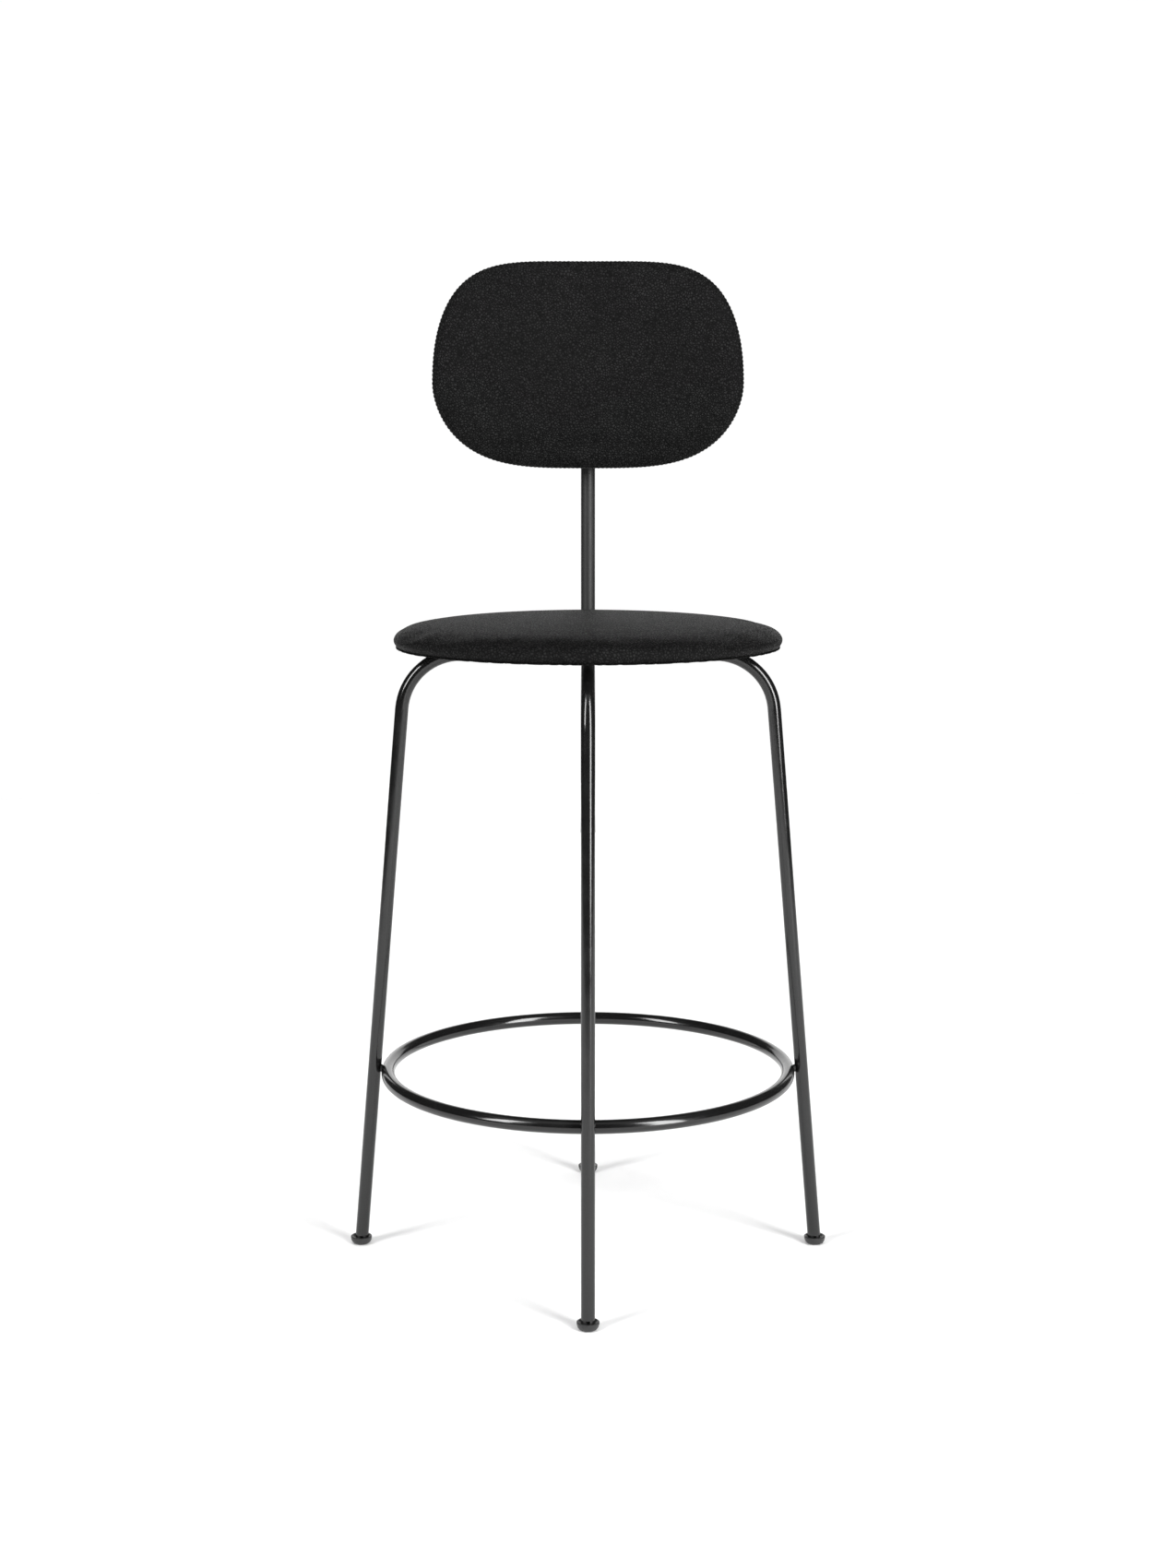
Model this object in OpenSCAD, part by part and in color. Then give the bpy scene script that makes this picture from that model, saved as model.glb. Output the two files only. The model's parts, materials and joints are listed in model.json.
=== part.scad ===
// Counter-height bar stool: four bent tube legs, a footrest ring inside them, a padded
// round seat, and a padded backrest on one post that is welded to the rear leg.
// Origin on the floor under the middle of the seat, +Z up, the front of the stool at -Y.

/* [Seat] */
// Height of the seat's crown above the floor
seat_height = 650; // [560:1:780]
// Diameter of the upholstered seat
seat_d = 393.6; // [320:0.2:480]
// Rise of the crown above the seat's widest line
seat_dome = 24; // [16:1:36]
// Radius of the seat's lower edge
seat_edge_r = 6.6; // [4:0.2:10]
// Thickness of the plywood seat board
seat_board_t = 10; // [6:0.5:15]
// Gap from the board's edge to the outside of the cover
seat_board_inset = 7.5; // [7:0.5:20]
// Thickness of the leather
leather_t = 1.2; // [0.8:0.1:2]
// Width of the leather margin turned under the board
seat_margin = 24; // [15:1:40]
// Thickness of the lining under the board
lining_t = 0.6; // [0.4:0.1:1.5]
// How far the lining covers the leather margin
lining_lap = 9; // [4:1:14]

/* [Legs] */
// Outside diameter of the leg tube
leg_d = 13.3; // [10:0.1:18]
// Wall of the leg tube
leg_wall = 1.5; // [1:0.1:2.5]
// How far the legs' axes meet the floor outside the seat's edge
foot_out = 37.8; // [10:0.2:90]
// Lean of the legs from upright, in degrees
leg_lean = 4.96; // [2:0.01:9]
// Centre-line radius of the bend under the seat
leg_bend_r = 60; // [35:1:80]
// Height at which the leg tube ends above the floor
leg_end_h = 9.4; // [8:0.1:14]
// Width across the square hub that the four legs are welded to
hub_w = 30; // [22:1:45]
// Height of the hub
hub_h = 14; // [12:0.5:20]
// Corner radius of the hub
hub_corner_r = 3; // [1:0.5:5]

/* [Seat tabs] */
// Distance of the mounting tabs from the middle
tab_r = 96; // [60:1:105]
// Tab size along its leg
tab_len = 24; // [16:1:32]
// Tab size across its leg
tab_w = 50; // [44:1:60]
// Thickness of the tab
tab_t = 2.6; // [2:0.1:4]
// Depth by which the leg tube nests in the tab
tab_seat = 0.8; // [0.4:0.1:1.2]
// Distance between the two screws of a tab
tab_screw_gap = 32; // [28:1:40]

/* [Footrest ring] */
// Outside diameter of the ring's tube
ring_d = 13.5; // [10:0.1:18]
// Height of the ring's axis above the floor
ring_h = 186.7; // [120:0.1:300]
// Gap between the ring and a leg
ring_gap = 1; // [0.5:0.1:4]
// Diameter of the studs that join the ring to the legs
ring_stud_d = 6; // [4:0.5:9]

/* [Post] */
// Outside diameter of the post
post_d = 15.1; // [12:0.1:20]
// Wall of the post
post_wall = 1.6; // [1:0.1:2.5]
// Backward lean of the post above the seat, in degrees
post_lean = 4; // [1:0.1:8]
// Centre-line radius of the bend in the post
post_bend_r = 120; // [60:5:200]
// Length of post that lies along the rear leg
post_lap = 156; // [90:1:180]
// Depth by which the rear leg nests in the post
post_seat = 0.5; // [0.3:0.1:0.8]
// Gap between the post and the edge of the seat
post_seat_gap = 1.5; // [1:0.1:6]
// Diameter of the flared lower end of the post
post_flare_d = 16.4; // [15.2:0.1:19]
// Length over which the lower end flares
post_flare_len = 72; // [40:1:80]
// Height of the post's top end above the backrest's widest line
post_top = 56; // [40:1:100]

/* [Backrest] */
// Width of the backrest
back_w = 329; // [260:1:400]
// Height of the post's axis behind the widest line, above the crown of the seat
back_rise = 227; // [190:1:290]
// Height of its top edge above the widest line
back_up = 130.5; // [90:0.5:160]
// Depth of its bottom edge below the widest line
back_down = 87.5; // [70:0.5:120]
// Thickness of the upholstered backrest
back_t = 32; // [26:1:45]
// Radius of the backrest's curve around the sitter
back_curve_r = 700; // [450:10:1500]
// Fullness of the upper sides
up_side = 2.23; // [1.7:0.01:3]
// Flatness of the top edge
up_edge = 4.56; // [2.5:0.01:6]
// Fullness of the lower sides
low_side = 1.8; // [1.5:0.01:3]
// Flatness of the bottom edge
low_edge = 3.68; // [2:0.01:6]
// Thickness of the curved plywood shell
back_board_t = 9; // [6:0.5:12]
// Distance from the shell's edge to the outside of the cover
back_board_inset = 12; // [8:1:25]
// Padding behind the shell
back_rear_pad_t = 3; // [1:0.5:6]
// Thickness of a saddle at its thinnest
saddle_t = 3; // [1.5:0.5:8]
// Width and height of a saddle
saddle_w = 20; // [16:1:26]
// Distance between the two backrest screws
back_screw_gap = 60; // [40:1:80]

/* [Glides] */
// Diameter of the glide's flange
glide_d = 21.6; // [18:0.1:28]
// Height of the flange's widest line
glide_rim_h = 7; // [5:0.1:8]
// Radius of the face on the floor
glide_sole_r = 6; // [4:0.1:9]
// Depth of the dish in the top of the flange
glide_dish = 1.6; // [0.5:0.1:2.5]
// Thickness of a rib
glide_rib_t = 2.4; // [1.5:0.1:3]
// Number of ribs
glide_ribs = 6; // [4:1:8]
// Length of the ribs inside the leg
glide_plug_len = 22; // [12:1:35]
// Diameter of the glide's core
glide_core_d = 5; // [4:0.1:7]

/* [Fasteners] */
// Thread diameter of the seat screws
seat_screw_d = 5; // [4:0.5:6]
// Head diameter of the seat screws
seat_head_d = 9.4; // [8:0.1:10]
// Head height of the seat screws
seat_head_h = 2.8; // [2:0.1:4]
// Thread diameter of the backrest screws
back_screw_d = 6; // [5:0.5:6]
// Head diameter of the backrest screws
back_head_d = 10.4; // [9:0.1:12]
// Head height of the backrest screws
back_head_h = 3.2; // [2:0.1:5]
// Flange diameter of the tee nuts
tee_flange_d = 17; // [14:0.5:20]
// Flange thickness of the tee nuts
tee_flange_t = 1.2; // [0.8:0.1:2]
// Wall of the tee nut's barrel
tee_wall = 1; // [0.8:0.1:2]
// Length of a staple's crown
staple_w = 10; // [6:0.5:12]
// Thickness of the staple wire
staple_wire = 0.7; // [0.5:0.1:1]
// Depth that a staple reaches into the board
staple_leg = 5; // [3:0.5:8]
// Number of staples round the seat
staple_count = 30; // [16:1:40]

/* [Clearances] */
// Radial clearance of the glides and the cap in their tubes
plug_clear = 0.05; // [0.02:0.01:0.2]
// Radial clearance of a screw in its nut
thread_clear = 0.05; // [0.02:0.01:0.15]
// Radial clearance of a screw in a drilled hole
hole_clear = 0.3; // [0.1:0.05:0.6]

/* [Hidden] */

$fn = 64;
eps = 0.01;
curve_steps = 20;      // points along each curve of a padded edge
outline_steps = 18;    // points along each quarter of the backrest's outline
big_fn = 720;          // facets of a curve with a radius of hundreds of millimetres
fine_fn = 256;         // facets of the round forms that trim the ring studs
cap_fn = 128;          // facets of the circle that rounds the post's cap
sleeve_len = 0.4;      // a hair-thick sleeve ties a bend to the straight tube beyond it
sleeve_d = 0.04;

seat_r = seat_d / 2;
seat_wide_h = seat_height - seat_dome;            // height of the seat's widest line
rim_bottom_h = seat_wide_h - seat_edge_r;         // under the turned-in leather
board_bottom_h = rim_bottom_h + leather_t;
board_top_h = board_bottom_h + seat_board_t;
board_r = seat_r - seat_board_inset;
margin_in_r = seat_r - seat_edge_r - seat_margin; // inner edge of the leather margin
tab_top_h = board_bottom_h - lining_t;

run_h = tab_top_h - tab_t + tab_seat - leg_d / 2; // axis of the level runs under the seat
foot_r = seat_r + foot_out;
bend_h = run_h - leg_bend_r;                      // centre of the bend
leg_bend_end_h = bend_h + leg_bend_r * sin(leg_lean);
leg_bend_r_pos = foot_r - leg_bend_end_h * tan(leg_lean) - leg_bend_r * cos(leg_lean);
leg_bore_d = leg_d - 2 * leg_wall;

ring_r = foot_r - ring_h * tan(leg_lean) - leg_d / 2 / cos(leg_lean) - ring_gap - ring_d / 2;

post_off = (leg_d / 2 + post_d / 2 - post_seat) / cos(leg_lean);
post_past_seat = seat_r + post_seat_gap + post_d / 2 / cos(post_lean);
post_bend_h = (foot_r + post_off - post_past_seat + seat_wide_h * tan(post_lean))
    / (tan(leg_lean) + tan(post_lean));
post_bend_y = foot_r + post_off - post_bend_h * tan(leg_lean);
post_bore_d = post_d - 2 * post_wall;
post_tangent = post_bend_r * tan((leg_lean + post_lean) / 2);
post_low_len = post_lap / cos(leg_lean);
back_mid_h = seat_height + back_rise;
back_mid_y = post_bend_y + (back_mid_h - post_bend_h) * tan(post_lean);
post_up_len = (back_mid_h - post_bend_h) / cos(post_lean) + post_top;

back_rear = -post_d / 2 - saddle_t;               // rear face of the backrest, from the post's axis
back_pad_t = back_t - back_board_t - back_rear_pad_t - 2 * leather_t;
rear_pad_y = back_rear - leather_t;
board_rear_y = rear_pad_y - back_rear_pad_t;
board_front_y = board_rear_y - back_board_t;
foam_front_y = board_front_y - back_pad_t;
back_seam_y = back_rear - back_t / 2;             // where the two covers are sewn together
back_front_y = back_rear - back_t;

leg_angles = [180, 0, 270, 90];                   // left, right, front, rear
tee_barrel_len = seat_board_t - 2;
seat_screw_len = tab_t + lining_t + seat_board_t;
back_screw_len = post_d + saddle_t + leather_t + back_rear_pad_t + back_board_t;

frame_color = "#262626";
leather_color = "#1c1c1d";
plastic_color = "#2f2f30";

// ---- Legs ----

module sleeve(d) {
    cylinder(h = sleeve_len, d = d + sleeve_d, center = true);
}

// The straight part of one leg's outside or bore, with its foot towards +X.
module leg_straight(d, over = 0) {
    start = leg_end_h / cos(leg_lean) - over;
    translate([foot_r, 0, 0])
        rotate([0, -leg_lean, 0])
            translate([0, 0, start])
                cylinder(h = leg_bend_end_h / cos(leg_lean) - start, d = d);
}

// One leg's outside or bore, bent in the XZ plane.
module leg_form(d, over = 0) {
    leg_straight(d, over);
    translate([foot_r, 0, 0])
        rotate([0, -leg_lean, 0])
            translate([0, 0, leg_bend_end_h / cos(leg_lean)])
                sleeve(d);
    translate([leg_bend_r_pos, 0, bend_h])
        rotate([90, 0, 0])
            rotate([0, 0, leg_lean])
                rotate_extrude(angle = 90 - leg_lean)
                    translate([leg_bend_r, 0])
                        circle(d = d);
    translate([leg_bend_r_pos, 0, run_h])
        rotate([0, 90, 0])
            sleeve(d);
    translate([hub_w / 2 - over, 0, run_h])
        rotate([0, 90, 0])
            cylinder(h = leg_bend_r_pos - hub_w / 2 + over, d = d);
}

module leg(angle) {
    color(frame_color)
        rotate([0, 0, angle])
            difference() {
                leg_form(leg_d);
                leg_form(leg_bore_d, 1);
            }
}

module left_leg() { leg(leg_angles[0]); }
module right_leg() { leg(leg_angles[1]); }
module front_leg() { leg(leg_angles[2]); }
module rear_leg() { leg(leg_angles[3]); }

module rounded_square(w, l, r) {
    for (x = [-1, 1], y = [-1, 1])
        translate([x * (w / 2 - r), y * (l / 2 - r)])
            circle(r = r);
    square([w - 2 * r, l], center = true);
    square([w, l - 2 * r], center = true);
}

module centre_hub() {
    color(frame_color)
        translate([0, 0, run_h - hub_h / 2])
            linear_extrude(hub_h)
                rounded_square(hub_w, hub_w, hub_corner_r);
}

// ---- Footrest ring ----

module ring_form(d, tube_fn = $fn) {
    translate([0, 0, ring_h])
        rotate_extrude($fn = big_fn)
            translate([ring_r, 0])
                circle(d = d, $fn = tube_fn);
}

module footrest_ring() {
    color(frame_color) ring_form(ring_d);
}

module ring_studs() {
    stud_from = ring_r + ring_d / 2 - 1.5;
    color(frame_color)
        for (angle = leg_angles)
            rotate([0, 0, angle])
                difference() {
                    translate([stud_from, 0, ring_h])
                        rotate([0, 90, 0])
                            cylinder(h = ring_gap + 3, d = ring_stud_d, $fn = fine_fn);
                    ring_form(ring_d, fine_fn);
                    leg_straight(leg_d, $fn = fine_fn);
                }
}

// ---- Seat tabs ----

module at_tab_screws() {
    for (angle = leg_angles, side = [-1, 1])
        rotate([0, 0, angle])
            translate([tab_r, side * tab_screw_gap / 2, 0])
                children();
}

module seat_tabs() {
    color(frame_color)
        for (angle = leg_angles)
            rotate([0, 0, angle])
                difference() {
                    translate([tab_r, 0, tab_top_h - tab_t])
                        linear_extrude(tab_t)
                            rounded_square(tab_len, tab_w, 5);
                    leg_form(leg_d);
                    for (side = [-1, 1])
                        translate([tab_r, side * tab_screw_gap / 2, tab_top_h - tab_t - 1])
                            cylinder(h = tab_t + 2, d = seat_screw_d + 2 * hole_clear);
                }
}

// ---- Post ----

module at_post_bend() {
    translate([0, post_bend_y, post_bend_h])
        children();
}

// Moves to the backrest's frame: origin on the post's axis at the backrest's widest line,
// Z up along the post, Y backwards.
module at_back() {
    translate([0, back_mid_y, back_mid_h])
        rotate([-post_lean, 0, 0])
            children();
}

// The post's outside, or its bore when wall > 0, with a flared and closed lower end.
module post_form(wall, over = 0) {
    r = post_d / 2 - wall;
    low_len = post_low_len - post_tangent;
    at_post_bend() {
        rotate([leg_lean, 0, 0])
            translate([0, 0, -post_low_len])
                rotate_extrude()
                    polygon([[0, wall], [post_flare_d / 2 - wall, wall], [r, post_flare_len],
                        [r, low_len], [0, low_len]]);
        rotate([leg_lean, 0, 0])
            translate([0, 0, -post_tangent])
                sleeve(2 * r);
        rotate([leg_lean, 0, 0])
            translate([0, post_bend_r, -post_tangent])
                rotate([90, 0, 0])
                    rotate([0, -90, 0])
                        rotate_extrude(angle = leg_lean + post_lean)
                            translate([post_bend_r, 0])
                                circle(r = r);
        rotate([-post_lean, 0, 0])
            translate([0, 0, post_tangent])
                cylinder(h = post_up_len - post_tangent + over, r = r);
        rotate([-post_lean, 0, 0])
            translate([0, 0, post_tangent])
                sleeve(2 * r);
    }
}

module back_screw_holes(d) {
    for (side = [-1, 1])
        translate([0, 0, side * back_screw_gap / 2])
            rotate([90, 0, 0])
                cylinder(h = 4 * back_t, d = d, center = true);
}

module back_post() {
    color(frame_color)
        difference() {
            post_form(0);
            post_form(post_wall, 1);
            rotate([0, 0, leg_angles[3]])
                leg_straight(leg_d);
            at_back()
                back_screw_holes(back_screw_d + 2 * hole_clear);
        }
}

module post_cap() {
    dome = 2.5;
    plug_len = 12;
    color(plastic_color)
        at_back()
            translate([0, 0, post_top]) {
                rotate_extrude()
                    intersection() {
                        translate([0, dome - 2 * post_d])
                            circle(r = 2 * post_d, $fn = cap_fn);
                        square([post_d / 2, dome]);
                    }
                translate([0, 0, -plug_len])
                    cylinder(h = plug_len + eps, d = post_bore_d - 2 * plug_clear);
            }
}

// ---- Glides ----

// Half of the saucer: sole, rounded side, rim and the dish round the ribs.
function saucer() = concat(
    [[0, 0], [glide_sole_r, 0]],
    [for (i = [1 : 8])
        [glide_sole_r + (glide_d / 2 - glide_sole_r) * sin(i * 90 / 8),
         glide_rim_h * (1 - cos(i * 90 / 8))]],
    [[glide_d / 2, glide_rim_h + 0.5], [glide_d / 2 - 0.6, glide_rim_h + 1],
     [glide_d / 2 - 1.6, glide_rim_h + 1],
     [leg_d / 2 + 0.3, glide_rim_h + 1 - glide_dish], [0, glide_rim_h + 1 - glide_dish]]
);

// Ribs of the part that the leg stands on and of the part inside the leg's bore.
module glide_rib_set(r, h) {
    cylinder(h = h, d = glide_core_d);
    for (i = [0 : glide_ribs - 1])
        intersection() {
            cylinder(h = h, r = r);
            rotate([0, 0, (i + 0.5) * 360 / glide_ribs])
                translate([0, -glide_rib_t / 2, 0])
                    cube([2 * r, glide_rib_t, h]);
        }
}

// The ribs face the front of the stool with a window, whichever leg they are under.
module glide(angle) {
    end = leg_end_h / cos(leg_lean);
    color(plastic_color)
        rotate([0, 0, angle]) {
            translate([foot_r, 0, 0])
                rotate_extrude()
                    polygon(saucer());
            translate([foot_r, 0, 0])
                rotate([0, -leg_lean, 0]) {
                    translate([0, 0, glide_rim_h - 2])
                        rotate([0, 0, -90 - angle])
                            glide_rib_set(leg_d / 2, end - glide_rim_h + 2);
                    translate([0, 0, end - eps])
                        rotate([0, 0, -90 - angle])
                            glide_rib_set(leg_bore_d / 2 - plug_clear, glide_plug_len);
                }
        }
}

module left_glide() { glide(leg_angles[0]); }
module right_glide() { glide(leg_angles[1]); }
module front_glide() { glide(leg_angles[2]); }
module rear_glide() { glide(leg_angles[3]); }

// ---- Seat ----

// The padded top from the crown to the widest line, seen inside the cover when inset > 0.
function seat_top(inset) =
    let (r = seat_r - inset, h = seat_dome - inset)
    [for (i = [0 : curve_steps])
        let (a = i * 90 / curve_steps)
        [r * sin(a), seat_wide_h + h * pow(cos(a), 2 / 3)]];

// The lower edge from the widest line to the underside.
function seat_edge(inset) =
    let (r = seat_edge_r - inset)
    [for (i = [1 : 6])
        [seat_r - seat_edge_r + r * cos(i * 15), seat_wide_h - r * sin(i * 15)]];

function reversed(list) = [for (i = [len(list) - 1 : -1 : 0]) list[i]];

module seat_board() {
    color("burlywood")
        difference() {
            translate([0, 0, board_bottom_h])
                cylinder(h = seat_board_t, r = board_r);
            at_tab_screws()
                translate([0, 0, board_bottom_h - 1])
                    cylinder(h = seat_board_t + 2, d = seat_screw_d + 2 * tee_wall);
        }
}

module seat_foam() {
    color("khaki")
        difference() {
            rotate_extrude()
                polygon(concat(seat_top(leather_t), seat_edge(leather_t),
                    [[board_r, board_bottom_h], [board_r, board_top_h], [0, board_top_h]]));
            at_tab_screws()
                translate([0, 0, board_top_h - 1])
                    cylinder(h = tee_flange_t + 1, d = tee_flange_d);
        }
}

module seat_cover() {
    color(leather_color)
        rotate_extrude()
            polygon(concat(seat_top(0), seat_edge(0),
                [[margin_in_r, rim_bottom_h], [margin_in_r, board_bottom_h]],
                reversed(seat_edge(leather_t)), reversed(seat_top(leather_t))));
}

module seat_staples() {
    color("silver")
        for (i = [0 : staple_count - 1])
            rotate([0, 0, (i + 0.5) * 360 / staple_count])
                translate([margin_in_r + lining_lap / 2, 0, rim_bottom_h - lining_t]) {
                    translate([-staple_wire / 2, -staple_w / 2, -staple_wire])
                        cube([staple_wire, staple_w, staple_wire]);
                    for (side = [-1, 1])
                        translate([-staple_wire / 2,
                                side * (staple_w - staple_wire) / 2 - staple_wire / 2, -eps])
                            cube([staple_wire, staple_wire,
                                lining_t + leather_t + staple_leg]);
                }
}

// The lining lies on the board and steps down over the edge of the leather margin.
module seat_lining() {
    edge_r = margin_in_r + lining_lap;
    color("#202020")
        difference() {
            rotate_extrude()
                polygon([[0, board_bottom_h], [margin_in_r, board_bottom_h],
                    [margin_in_r, rim_bottom_h], [edge_r, rim_bottom_h],
                    [edge_r, rim_bottom_h - lining_t],
                    [margin_in_r - lining_t, rim_bottom_h - lining_t],
                    [margin_in_r - lining_t, board_bottom_h - lining_t],
                    [0, board_bottom_h - lining_t]]);
            at_tab_screws()
                translate([0, 0, board_bottom_h - lining_t - 1])
                    cylinder(h = lining_t + 2, d = seat_screw_d + 2 * hole_clear);
        }
}

// A button-head screw along Z with its head's seat at the origin and its socket below.
module button_screw(d, len, head_d, head_h, socket) {
    difference() {
        union() {
            cylinder(h = len, d = d);
            rotate_extrude()
                polygon(concat([[0, 0], [head_d / 2, 0]],
                    [for (i = [0 : 5])
                        [head_d / 2 * (0.45 + 0.55 * cos(i * 15)), -head_h * sin(i * 15)]],
                    [[head_d / 2 * 0.45, -head_h], [0, -head_h]]));
        }
        translate([0, 0, -head_h - 1])
            cylinder(h = head_h * 0.65 + 1, d = socket / cos(30), $fn = 6);
    }
}

// A tee nut along Z: flange above the origin, barrel below it.
module tee_nut(d, barrel) {
    difference() {
        union() {
            cylinder(h = tee_flange_t, d = tee_flange_d);
            translate([0, 0, -barrel])
                cylinder(h = barrel, d = d + 2 * tee_wall);
        }
        translate([0, 0, -barrel - 1])
            cylinder(h = barrel + tee_flange_t + 2, d = d + 2 * thread_clear);
    }
}

module seat_screws() {
    color("dimgray")
        at_tab_screws()
            translate([0, 0, tab_top_h - tab_t])
                button_screw(seat_screw_d, seat_screw_len, seat_head_d, seat_head_h, 3);
}

module seat_tee_nuts() {
    color("silver")
        at_tab_screws()
            translate([0, 0, board_top_h])
                tee_nut(seat_screw_d, tee_barrel_len);
}

// ---- Backrest ----

// One half of the outline, from the widest line to the edge at mid-width. The power curve
// abs(x / w)^edge + abs(z / h)^side = 1 is walked by angle.
function outline_quarter(w, h, side, edge, steps = outline_steps) =
    [for (i = [0 : steps])
        let (a = i * 90 / steps)
        [w * pow(cos(a), 2 / edge), h * pow(sin(a), 2 / side)]];

module back_outline(inset) {
    w = back_w / 2 - inset;
    up = outline_quarter(w, back_up - inset, up_side, up_edge);
    low = outline_quarter(w, back_down - inset, low_side, low_edge);
    right = concat([for (p = reversed(low)) [p[0], -p[1]]], [for (i = [1 : len(up) - 1]) up[i]]);
    left = [for (i = [len(right) - 2 : -1 : 1]) [-right[i][0], right[i][1]]];
    polygon(concat(right, left));
}

// A curved layer of the backrest between two depths behind the sitter.
module back_layer(inset, front_y, rear_y) {
    intersection() {
        translate([0, rear_y + 1, 0])
            rotate([90, 0, 0])
                linear_extrude(rear_y - front_y + 60)
                    back_outline(inset);
        translate([0, back_rear - back_curve_r, -back_down - 5])
            difference() {
                cylinder(h = back_up + back_down + 10, r = back_curve_r + rear_y - back_rear,
                    $fn = big_fn);
                translate([0, 0, -1])
                    cylinder(h = back_up + back_down + 12,
                        r = back_curve_r + front_y - back_rear, $fn = big_fn);
            }
    }
}

module back_board() {
    color("burlywood")
        at_back()
            difference() {
                back_layer(back_board_inset, board_front_y, board_rear_y);
                back_screw_holes(back_screw_d + 2 * tee_wall);
            }
}

module back_foam() {
    color("khaki")
        at_back()
            difference() {
                back_layer(back_board_inset, foam_front_y, board_front_y);
                for (side = [-1, 1])
                    translate([0, board_front_y + 1, side * back_screw_gap / 2])
                        rotate([90, 0, 0])
                            cylinder(h = tee_flange_t + 2, d = tee_flange_d + 1);
            }
}

module back_rear_pad() {
    color("khaki")
        at_back()
            difference() {
                back_layer(back_board_inset, board_rear_y, rear_pad_y);
                back_screw_holes(back_screw_d + 2 * hole_clear);
            }
}

// The front cover reaches round the edge to the seam.
module back_front_cover() {
    color(leather_color)
        at_back()
            difference() {
                back_layer(0, back_front_y, back_seam_y);
                back_layer(back_board_inset, foam_front_y, back_seam_y + 1);
            }
}

module back_rear_cover() {
    color(leather_color)
        at_back()
            difference() {
                back_layer(0, back_seam_y, back_rear);
                back_layer(back_board_inset, back_seam_y - 1, rear_pad_y);
                back_screw_holes(back_screw_d + 2 * hole_clear);
            }
}

// Two saddles carry the round post against the backrest.
module back_saddles() {
    color(plastic_color)
        at_back()
            difference() {
                for (side = [-1, 1])
                    translate([-saddle_w / 2, back_rear - 1,
                            side * back_screw_gap / 2 - saddle_w / 2])
                        cube([saddle_w, saddle_t + 1 + post_d / 4, saddle_w]);
                cylinder(h = 2 * back_up, d = post_d, center = true);
                translate([0, back_rear - back_curve_r, -back_down])
                    cylinder(h = 2 * back_down, r = back_curve_r, $fn = big_fn);
                back_screw_holes(back_screw_d + 2 * hole_clear);
            }
}

module back_screws() {
    color("dimgray")
        at_back()
            for (side = [-1, 1])
                translate([0, post_d / 2, side * back_screw_gap / 2])
                    rotate([90, 0, 0])
                        button_screw(back_screw_d, back_screw_len, back_head_d, back_head_h, 4);
}

module back_tee_nuts() {
    color("silver")
        at_back()
            for (side = [-1, 1])
                translate([0, board_front_y, side * back_screw_gap / 2])
                    rotate([90, 0, 0])
                        tee_nut(back_screw_d, back_board_t - 1);
}

left_leg();
right_leg();
front_leg();
rear_leg();
centre_hub();
footrest_ring();
ring_studs();
seat_tabs();
back_post();
post_cap();
left_glide();
right_glide();
front_glide();
rear_glide();
seat_board();
seat_foam();
seat_cover();
seat_staples();
seat_lining();
seat_screws();
seat_tee_nuts();
back_board();
back_foam();
back_rear_pad();
back_front_cover();
back_rear_cover();
back_saddles();
back_screws();
back_tee_nuts();
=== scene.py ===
"""A counter-height bar stool with a footrest ring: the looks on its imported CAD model.

Everything is in metres in the model's frame: the origin on the floor under the seat, +Z up,
the front of the stool at -Y.
"""

import json
import math

import bpy
from mathutils import Matrix, Vector, noise


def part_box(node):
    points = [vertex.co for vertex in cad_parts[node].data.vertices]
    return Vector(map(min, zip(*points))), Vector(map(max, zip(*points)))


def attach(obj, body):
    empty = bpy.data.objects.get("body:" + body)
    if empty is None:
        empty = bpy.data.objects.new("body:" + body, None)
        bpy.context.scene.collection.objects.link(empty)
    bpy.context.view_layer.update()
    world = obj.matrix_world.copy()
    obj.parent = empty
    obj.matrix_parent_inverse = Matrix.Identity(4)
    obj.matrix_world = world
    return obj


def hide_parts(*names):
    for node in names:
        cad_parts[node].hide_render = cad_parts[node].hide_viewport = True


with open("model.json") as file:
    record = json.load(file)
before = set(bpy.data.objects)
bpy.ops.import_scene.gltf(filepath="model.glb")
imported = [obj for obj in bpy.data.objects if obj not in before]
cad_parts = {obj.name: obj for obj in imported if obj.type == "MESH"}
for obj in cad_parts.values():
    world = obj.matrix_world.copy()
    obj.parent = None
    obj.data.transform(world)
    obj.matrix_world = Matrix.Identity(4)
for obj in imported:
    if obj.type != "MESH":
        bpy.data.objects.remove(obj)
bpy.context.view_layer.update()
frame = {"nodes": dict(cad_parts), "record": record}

# ---- Sizes ----

seat_low, seat_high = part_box("seat_cover")
SEAT_R = seat_high.x
SEAT_TOP = seat_high.z
SEAT_DOME = 0.024  # rise of the crown above the widest line
SEAT_EDGE = 0.0066  # radius of the lower edge
SEAT_WIDE = SEAT_TOP - SEAT_DOME
RIM_BOTTOM = seat_low.z
SEAT_MARGIN = 0.024  # width of the leather turned under the board
board_low, board_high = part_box("seat_board")

leg_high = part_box("front_leg")[1]
LEG_R = leg_high.x
LEG_LEAN = math.radians(4.96)
RUN_Z = leg_high.z - LEG_R  # axis of the level runs under the seat
FOOT_R = max(abs(c) for m in frame["record"]["mounts"] for c in m["pos_m"][:2])
hub_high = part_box("centre_hub")[1]
tab_low, tab_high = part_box("seat_tabs")
TAB_LEN = 0.024
ring_low, ring_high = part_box("footrest_ring")
RING_Z = (ring_high.z + ring_low.z) / 2
RING_GAP = 0.001
STUD_R = 0.003
POST_R = 0.00755
POST_SEAT = 0.0005  # depth by which the rear leg nests in the post

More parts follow.
